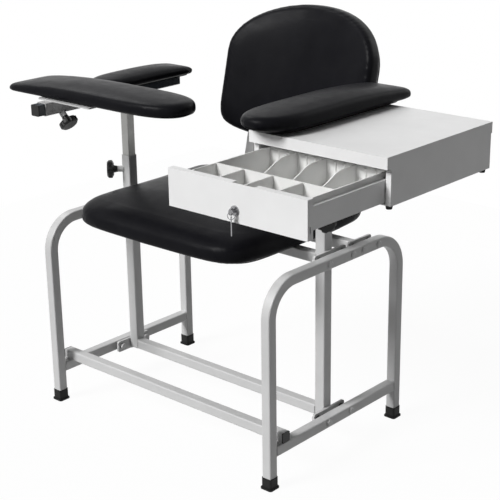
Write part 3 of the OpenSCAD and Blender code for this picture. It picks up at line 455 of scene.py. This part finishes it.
def cloth_points(obj, held):
    """Where the points go when the cover is cloth under pressure."""
    group = obj.vertex_groups.new(name="held")
    group.add(held, 1.0, "ADD")
    cloth = obj.modifiers.new("cloth", "CLOTH")
    for key, value in CLOTH.items():
        setattr(cloth.settings, key, value)
    cloth.settings.vertex_group_mass = group.name
    cloth.settings.effector_weights.gravity = 0
    cloth.collision_settings.use_collision = False
    cloth.collision_settings.use_self_collision = False
    cloth.point_cache.frame_start = 1
    cloth.point_cache.frame_end = CLOTH_FRAMES
    for f in range(1, CLOTH_FRAMES + 1):
        scene.frame_set(f)
    deps = bpy.context.evaluated_depsgraph_get()
    points = [v.co.copy() for v in obj.evaluated_get(deps).data.vertices]
    obj.modifiers.clear()
    obj.vertex_groups.clear()
    scene.frame_set(1)
    return points


def calmed(moves, edges):
    """Each move averaged with those of the points next to it."""
    for _ in range(CALMINGS):
        total = [m.copy() for m in moves]
        count = [1] * len(moves)
        for i, j in edges:
            total[i] += moves[j]
            total[j] += moves[i]
            count[i] += 1
            count[j] += 1
        moves = [t / c for t, c in zip(total, count)]
    return moves


def swell(obj, pinned, cap):
    """The cover swells under pressure by at most cap; its pinned underside stays."""
    normals = remesh(obj, pinned)
    start = [v.co.copy() for v in obj.data.vertices]
    held = [i for i, co in enumerate(start) if pinned(co)]
    moves = []
    for a, b, n in zip(start, cloth_points(obj, held), normals):
        move = b - a
        move -= n * min(0.0, move.dot(n)) * BEARING
        if move.length > cap:
            move *= cap / move.length
        moves.append(move)
    moves = calmed(moves, [tuple(e.vertices) for e in obj.data.edges])
    fixed = set(held)
    for i, v in enumerate(obj.data.vertices):
        if i not in fixed:
            v.co = start[i] + moves[i]
    mod = obj.modifiers.new("fine", "SUBSURF")
    mod.levels = mod.render_levels = 1
    take_modifiers(obj)
    obj.data.polygons.foreach_set("use_smooth", [True] * len(obj.data.polygons))


def cushion(name, node, body, rings, pinned, cap):
    """A vinyl cover from rings in metres, in the place of its solid."""
    verts, faces = closed(rings)
    obj = new_object(name, verts, faces, MATS["vinyl"])
    swell(obj, pinned, cap)
    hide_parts(node)
    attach(obj, body)


# The seat and the arm pads lie flat on their boards
FLAT_HELD = 0.003         # the underside below this height stays, in metres
ARM_PAD = {"draw": 8.8, "share": 1, "roll": 0.4, "crown": 6, "cap": 0.004, "fill": 0.9}


def flat_pad(name, node, body, outline, h, draw, share, roll, crown, cap, fill,
             taper=0, nose=0, turned=False):
    """A cushion on the box of its solid; roll is a share of h, and turned puts its rear to -X."""
    lo, hi = low(node), high(node)
    mid = (lo + hi) / 2
    hx, hy = (hi.x - lo.x) / 2 / MM, (hi.y - lo.y) / 2 / MM
    if turned:
        hx, hy = hy, hx
    line = slimmed(outline(hx, hy), hx, hy)
    rings = cushion_rings(line, hx, hy, h - SLIM, draw, share, h * roll, crown, taper, nose)
    if turned:
        rings = [[(-y, x, z) for x, y, z in r] for r in rings]
    rings = [[Vector((mid.x + x * MM, mid.y + y * MM, lo.z + z * MM)) for x, y, z in r]
             for r in rings]
    cushion(name, node, body, rings, lambda co: co.z < lo.z + FLAT_HELD, cap)


flat_pad("seat_padding", "seat_cushion", "frame", seat_line, h=49, draw=12, share=2, roll=0.5,
         crown=14, cap=0.006, fill=0.85)
flat_pad("side_arm_padding", "side_pad", "left_arm", arm_line, h=21, taper=0.3, **ARM_PAD)
flat_pad("right_arm_padding", "right_pad", "right_arm", arm_line, h=32, taper=0.4, nose=32,
         **ARM_PAD)
flat_pad("front_rest_padding", "front_pad", "front_rest", arm_line, h=28, taper=0.5, turned=True,
         **ARM_PAD)

# The back is drawn lying down with its front up, bent to an arc, then leaned
BACK_W, BACK_L, BACK_H = 408, 316, 46
BACK_SHOULDER, BACK_ARCH = 191, 2.05      # where the arch starts, and how square it is
BACK_FOOT = 14.5                          # how square the lower edge is
BACK_WRAP, BACK_LEAN = 46, 14             # depth of the bend, and degrees
BACK_Y, BACK_Z = 293.5, 548
BACK_LIFT, BACK_HELD = 0.3, 4             # off its board, and how much of the rear face stays
BACK_R = (BACK_W / 2) ** 2 / (2 * BACK_WRAP) + BACK_WRAP / 2
TO_BACK = (Matrix.Translation(at(0, BACK_Y, BACK_Z))
           @ Matrix.Rotation(math.radians(90 - BACK_LEAN), 4, "X"))


def back_line(top_steps=60, foot_steps=120):
    """Outline of the back: an arch over the shoulders, nearly straight sides and lower edge."""
    out = []
    for i in range(top_steps + 1):
        a = math.pi * i / top_steps
        out.append((BACK_W / 2 * power(math.cos(a), BACK_ARCH),
                    BACK_SHOULDER + (BACK_L - BACK_SHOULDER) * abs(power(math.sin(a), BACK_ARCH))))
    for i in range(1, foot_steps):
        a = math.pi * i / foot_steps
        out.append((-BACK_W / 2 * math.cos(a), BACK_SHOULDER * (1 - power(math.sin(a), BACK_FOOT))))
    return [(x, y - BACK_L / 2) for x, y in out]


def bow_at(x):
    return BACK_R - math.sqrt(BACK_R ** 2 - x ** 2)


def make_back():
    hx, hy = BACK_W / 2, BACK_L / 2
    rings = cushion_rings(slimmed(back_line(), hx, hy), hx, hy, BACK_H - SLIM, draw=12, share=1,
                          roll=BACK_H / 4, crown=5)
    rings = [[TO_BACK @ (Vector((x, y + hy, z + BACK_LIFT + bow_at(x))) * MM) for x, y, z in r]
             for r in rings]
    flat = TO_BACK.inverted()

    def pinned(co):
        p = flat @ co / MM
        return p.z - bow_at(min(abs(p.x), hx)) < BACK_HELD

    cushion("back_padding", "back_cushion", "frame", rings, pinned, cap=0.005)


make_back()


# Welds, in millimetres from the middle of the side frames
BEAD_R, BEAD_PITCH, BEAD_STEP, BEAD_SIDES = 1.7, 2.6, 0.65, 8
BEAD_END = 1.6            # over this length a run swells from its end
STAND_OFF = 0.3           # a bead's middle line lies this far off the face


def bead(verts, faces, a, b):
    """One run of weld from a to b: a rope of overlapping ripples, frozen unevenly."""
    a, b = Vector(a), Vector(b)
    run = b - a
    along = run.normalized()
    side = along.cross(Vector((0.31, 0.52, 0.79))).normalized()
    other = along.cross(side)
    steps = max(6, int(run.length / BEAD_STEP))
    first = len(verts)
    for i in range(steps + 1):
        d = run.length * i / steps
        end = min(1.0, (d + 0.5) / BEAD_END, (run.length - d + 0.5) / BEAD_END)
        saw = (d / BEAD_PITCH + 0.37 * math.sin(d * 0.9 + a.x)) % 1
        ripple = 0.84 + 0.22 * math.sin(math.pi * saw) ** 0.7 + 0.05 * math.sin(2.3 * d + a.y)
        r = BEAD_R * math.sqrt(max(end, 0.12)) * ripple
        drift = 0.18 * math.sin(0.8 * d + a.z)
        for k in range(BEAD_SIDES):
            t = 2 * math.pi * k / BEAD_SIDES
            spot = a + along * d + side * (r * math.cos(t) + drift) + other * r * math.sin(t)
            verts.append(at(*spot))
    for i in range(steps):
        for k in range(BEAD_SIDES):
            p = first + i * BEAD_SIDES + k
            q = first + i * BEAD_SIDES + (k + 1) % BEAD_SIDES
            faces.append((p, q, q + BEAD_SIDES, p + BEAD_SIDES))
    last = first + steps * BEAD_SIDES
    faces.append(tuple(range(first, first + BEAD_SIDES)))
    faces.append(tuple(range(last, last + BEAD_SIDES)))


def square_weld(axis, place, half, corner=3):
    """The four runs round a square tube that lies along an axis and ends at place."""
    x, y, z = place
    e = half - corner
    runs = []
    for u0, v0, u1, v1 in ((-e, -half, e, -half), (-e, half, e, half),
                           (-half, -e, -half, e), (half, -e, half, e)):
        if axis == "x":
            runs.append(((x, y + u0, z + v0), (x, y + u1, z + v1)))
        elif axis == "y":
            runs.append(((x + u0, y, z + v0), (x + u1, y, z + v1)))
        else:
            runs.append(((x + u0, y + v0, z), (x + u1, y + v1, z)))
    return runs


def weld(name, runs, body):
    verts, faces = [], []
    for a, b in runs:
        bead(verts, faces, a, b)
    obj = new_object(name, verts, faces, WELD)
    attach(obj, body)


def middle(name):
    lo, hi = corners(name)
    return (lo + hi) / 2


STEM = middle("right_stem")
POST_X, POST_Y = STEM.x, STEM.y
HALF = corners("right_stem")[1].x - POST_X           # half of the 22 mm tube
FRONT_RUN, PLATE_RUN = 9, 10                         # halves of the lengths of two kinds of weld
PLATE_IN = 0.5                                       # from a plate's edge to its weld
UPPER_RUN_Z = 406                                    # the run on the post below the upper plate


def frame_welds():
    runs = []
    side = corners("side_frame_right")[1]
    leg_x, leg_in_y = side.x - HALF, side.y - 2 * HALF
    front_lo, front_hi = corners("front_crossbar")
    rail_top = front_lo.z
    bar_end = corners("lower_bar")[1].x
    bar_y, upper_z = middle("upper_bar").y, middle("upper_bar").z
    plate_lo, plate_hi = corners("plate_lower_right")
    for sx in (-1, 1):
        for sy in (-1, 1):
            rail_end = (sx * leg_x, sy * (leg_in_y - STAND_OFF), rail_top - HALF)
            runs += square_weld("y", rail_end, HALF)
        for y in (front_lo.y, front_hi.y):
            z = rail_top + STAND_OFF
            runs.append(((sx * leg_x - FRONT_RUN, y, z), (sx * leg_x + FRONT_RUN, y, z)))
        for z in (middle("lower_bar").z, upper_z):
            runs += square_weld("x", (sx * (bar_end - STAND_OFF), bar_y, z), HALF)
        rear_end = (sx * (plate_lo.x - STAND_OFF), middle("rear_crossbar").y, upper_z)
        runs += square_weld("x", rear_end, HALF)
        for z in (plate_lo.z + PLATE_IN, plate_hi.z - PLATE_IN, UPPER_RUN_Z):
            x = sx * plate_lo.x
            runs.append(((x, POST_Y - PLATE_RUN, z), (x, POST_Y + PLATE_RUN, z)))
    weld("weld_beads_frame", runs, "frame")


def left_arm_welds():
    """Round the stem's end, under the arm tube."""
    tube_z = corners("arm_tube_left")[0].z
    weld("weld_beads_left_arm", square_weld("z", (-POST_X, POST_Y, tube_z - STAND_OFF), HALF),
         "left_arm")


def rest_welds(length=24, starts=(21, 61), half=12.6):
    """Two runs on each side of the sleeve, under the plate that it carries."""
    sleeve_y = corners("sleeve")[0].y
    z = corners("rest_plate")[0].z - PLATE_IN
    weld("weld_beads_rest", [((x, sleeve_y + start, z), (x, sleeve_y + start + length, z))
                             for x in (-POST_X - half, -POST_X + half) for start in starts],
         "front_rest")


def right_arm_welds(length=22, starts=(8.5, 53.5, 98.5, 138.5), half=11.6, rise=24.6):
    """Round the stem's end, and four runs on each side between the carrier's tube and plate."""
    z = corners("carrier")[0].z
    runs = square_weld("z", (POST_X, POST_Y, z - STAND_OFF), HALF)
    for y in (POST_Y - half, POST_Y + half):
        for start in starts:
            x = POST_X + start
            runs.append(((x, y, z + rise), (x + length, y, z + rise)))
    weld("weld_beads_right_arm", runs, "right_arm")


frame_welds()
left_arm_welds()
rest_welds()
right_arm_welds()


# Stage
FLOOR_HALF, FLOOR_Z = 1.7, -0.0005
FLOOR_SHADE, FLOOR_GLOW, FLOOR_PART = 0.5, 1.03, 0.93
WORLD_SOFT, WORLD_SEEN = 0.06, 1.0


def seen_rays(tree):
    """1 for camera, glossy and transmission rays."""
    path = tree.nodes.new("ShaderNodeLightPath")
    value = path.outputs["Is Camera Ray"]
    for kind in ("Is Glossy Ray", "Is Transmission Ray"):
        node = add(tree, "ShaderNodeMath", operation="MAXIMUM")
        tree.links.new(value, node.inputs[0])
        tree.links.new(path.outputs[kind], node.inputs[1])
        value = node.outputs[0]
    return value


def mixed(tree, part, one, two, out):
    """Shader one, with this part of shader two."""
    mix = tree.nodes.new("ShaderNodeMixShader")
    tree.links.new(part, mix.inputs["Fac"])
    tree.links.new(one.outputs[0], mix.inputs[1])
    tree.links.new(two.outputs[0], mix.inputs[2])
    tree.links.new(mix.outputs[0], out.inputs["Surface"])


def floor_material():
    """White for the camera and in reflections; it still takes a faint shadow."""
    mat = bpy.data.materials.new("floor")
    mat.use_nodes = True
    tree = mat.node_tree
    tree.nodes.clear()
    part = add(tree, "ShaderNodeMath", operation="MULTIPLY")
    part.inputs[1].default_value = FLOOR_PART
    tree.links.new(seen_rays(tree), part.inputs[0])
    mixed(tree, part.outputs[0], add(tree, "ShaderNodeBsdfDiffuse", Color=(*gray(FLOOR_SHADE), 1)),
          add(tree, "ShaderNodeEmission", Color=(1, 1, 1, 1), Strength=FLOOR_GLOW),
          tree.nodes.new("ShaderNodeOutputMaterial"))
    return mat


def add_floor():
    verts = [(x * FLOOR_HALF, y * FLOOR_HALF, FLOOR_Z)
             for x, y in ((-1, -1), (1, -1), (1, 1), (-1, 1))]
    new_object("floor", verts, [(0, 1, 2, 3)], floor_material(), smooth=False)


def add_world():
    """White for the camera and in reflections, and dim for the rest."""
    world = bpy.data.worlds.new("world")
    scene.world = world
    world.use_nodes = True
    tree = world.node_tree
    tree.nodes.clear()
    soft, seen = (add(tree, "ShaderNodeBackground", Color=(1, 1, 1, 1), Strength=strength)
                  for strength in (WORLD_SOFT, WORLD_SEEN))
    mixed(tree, seen_rays(tree), soft, seen, tree.nodes.new("ShaderNodeOutputWorld"))


# Lights, in metres, all aimed at the middle of the chair
AIM = Vector((0, 0, 0.45))


def lamp(name, kind, place, energy, **shape):
    data = bpy.data.lights.new(name, kind)
    data.energy = energy
    for key, value in shape.items():
        setattr(data, key, value)
    obj = bpy.data.objects.new(name, data)
    obj.location = place
    obj.rotation_euler = (AIM - Vector(place)).to_track_quat("-Z", "Y").to_euler()
    scene.collection.objects.link(obj)


add_floor()
add_world()
lamp("key", "SUN", (-1.3, -3.6, 3.3), 3.6, angle=math.radians(22))
lamp("back fill", "SUN", (0.9, 3.6, 2.0), 0.35, angle=math.radians(30))
lamp("left box", "AREA", (-2.6, 0.6, 3.1), 22, size=1.1)

scene.view_settings.view_transform = "Standard"
